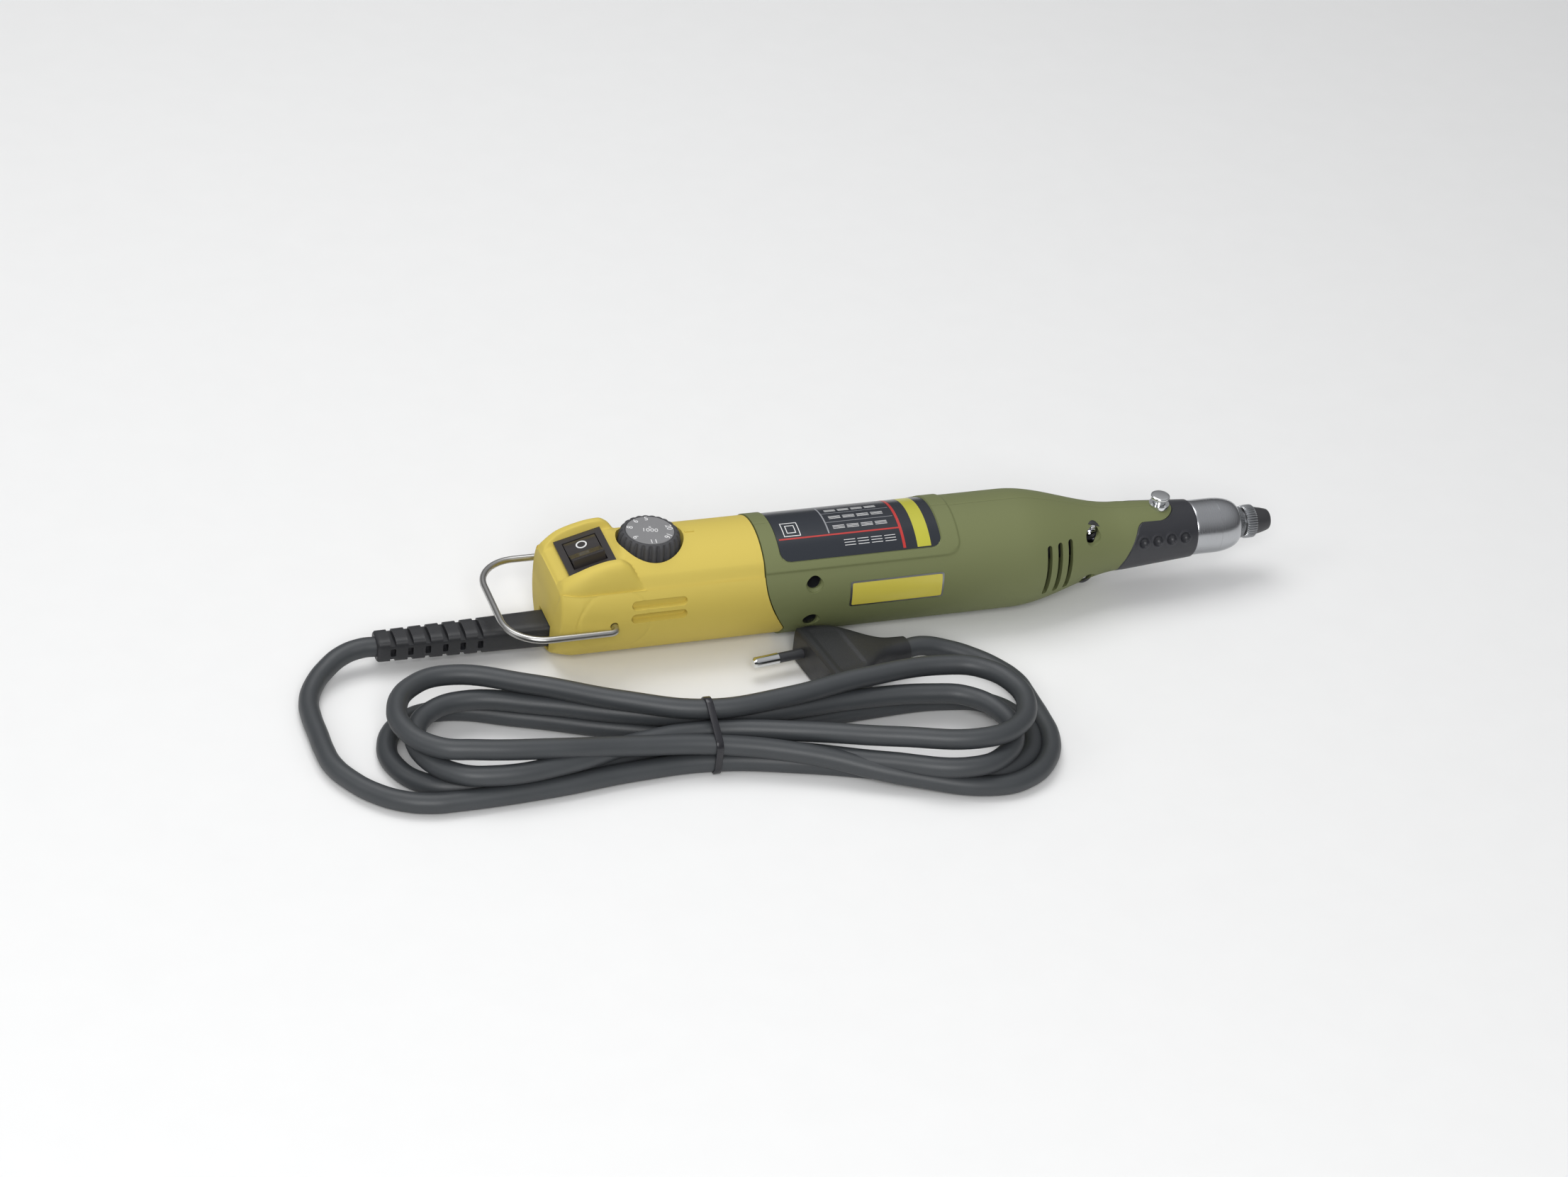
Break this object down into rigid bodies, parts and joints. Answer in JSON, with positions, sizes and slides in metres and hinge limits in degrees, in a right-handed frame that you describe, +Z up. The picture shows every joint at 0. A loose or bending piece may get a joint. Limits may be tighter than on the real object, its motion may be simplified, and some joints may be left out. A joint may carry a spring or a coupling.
{
  "type": "rotary hobby tool",
  "caption": "Handheld rotary tool with speed dial, rocker switch, spindle lock, collet nut, collar for stands, wire hanging bail and a mains lead tied in a hank.",
  "frame": {"origin": "bottom centre of the tool's box without the free lead, on the surface it lies on", "axes": "+X along the spindle towards the nose, +Z up through the dial and switch, the lead's hank on the -Y side"},
  "size_m": [0.3635, 0.1353, 0.045],
  "materials": {
    "cap_yellow": "satin moulded",
    "housing_green": "satin moulded",
    "grip_black": "soft matt",
    "satin_steel": "turned satin",
    "bright_chrome": "polished",
    "bearing_steel": "ground",
    "black_steel": "black oxide",
    "zinc_screw": "zinc plated",
    "label_film": "printed film",
    "badge_yellow": "raised film",
    "dial_black": "moulded",
    "dial_grey": "printed",
    "switch_black": "moulded",
    "magnet_grey": "ferrite",
    "lamination_steel": "laminated",
    "copper": "enamelled wire",
    "brush_brass": "stamped",
    "carbon": "graphite",
    "bell_black": "moulded",
    "fan_cream": "moulded",
    "board_green": "circuit board",
    "pot_blue": "moulded",
    "capacitor_ochre": "cast",
    "sink_aluminium": "plain",
    "wire_red": "insulation",
    "wire_blue": "insulation",
    "cord_grey": "matt sheath",
    "plug_black": "grained",
    "tie_black": "wire tie"
  },
  "bodies": {
    "housing": {"rear_cap": "cap_yellow", "housing_near": "housing_green", "housing_far": "housing_green", "grip_sleeve": "grip_black", "nose_collar": "satin_steel", "nose_cone": "satin_steel", "nose_ring": "bearing_steel", "housing_screws": "zinc_screw", "rating_label": "label_film", "side_badges": "badge_yellow", "spindle_front_bearing": "bearing_steel", "spindle_rear_bearing": "bearing_steel", "lock_guide": "bright_chrome", "motor_can": "satin_steel", "field_magnets": "magnet_grey", "motor_end_bell": "bell_black", "motor_front_bearing": "bearing_steel", "motor_rear_bearing": "bearing_steel", "brush_holders": "brush_brass", "carbon_brushes": "carbon", "brush_springs": "bearing_steel", "brush_caps": "bell_black", "circuit_board": "board_green", "speed_potentiometer": "pot_blue", "suppression_capacitor": "capacitor_ochre", "choke_coils": "copper", "triac_heat_sink": "sink_aluminium", "switch_frame": "switch_black", "switch_terminals": "brush_brass", "mains_wires": "wire_blue", "motor_wires": "wire_red", "cord_boot": "plug_black", "cord_clamp": "bell_black", "clamp_screws": "zinc_screw", "cord_lead": "cord_grey", "cord_hank": "cord_grey", "cord_tail": "cord_grey", "cord_tie": "tie_black", "plug_body": "plug_black", "plug_sleeves": "plug_black", "plug_pins": "bright_chrome"},
    "spindle_group": {"spindle": "satin_steel", "collet": "satin_steel", "shaft_coupling": "grip_black", "motor_shaft": "satin_steel", "armature_core": "lamination_steel", "armature_windings": "copper", "commutator": "copper", "cooling_fan": "fan_cream"},
    "nut": {"collet_nut": "black_steel"},
    "lock": {"lock_button": "bright_chrome", "lock_spring": "bearing_steel"},
    "rocker": {"switch_rocker": "switch_black"},
    "dial": {"speed_knob": "dial_black", "knob_disc": "dial_grey", "pot_shaft": "satin_steel"},
    "hanger": {"hanger_wire": "satin_steel"}
  },
  "joints": [
    {"name": "spindle_spin", "type": "hinge", "parent": "housing", "child": "spindle_group", "pos_m": [0.1325, 0, 0.0213], "axis": [1, 0, 0], "continuous": true},
    {"name": "nut_turn", "type": "hinge", "parent": "spindle_group", "child": "nut", "pos_m": [0.1625, 0, 0.0213], "axis": [1, 0, 0], "range_deg": [0, 360]},
    {"name": "lock_press", "type": "slide", "parent": "housing", "child": "lock", "axis": [0, 0, -1], "range_m": [0, 0.0022], "stiffness_N_per_m": 400, "springref_m": -0.002, "deforming": ["lock_spring"]},
    {"name": "rocker_tip", "type": "hinge", "parent": "housing", "child": "rocker", "pos_m": [-0.0946, 0, 0.0377], "axis": [0.9613, 0, 0.2756], "range_deg": [0, 24]},
    {"name": "dial_turn", "type": "hinge", "parent": "housing", "child": "dial", "pos_m": [-0.072, 0, 0.0413], "axis": [0, 0, 1], "range_deg": [0, 265]},
    {"name": "hanger_swing", "type": "hinge", "parent": "housing", "child": "hanger", "pos_m": [-0.0892, 0, 0.0213], "axis": [0, 1, 0], "range_deg": [0, 140]}
  ]
}
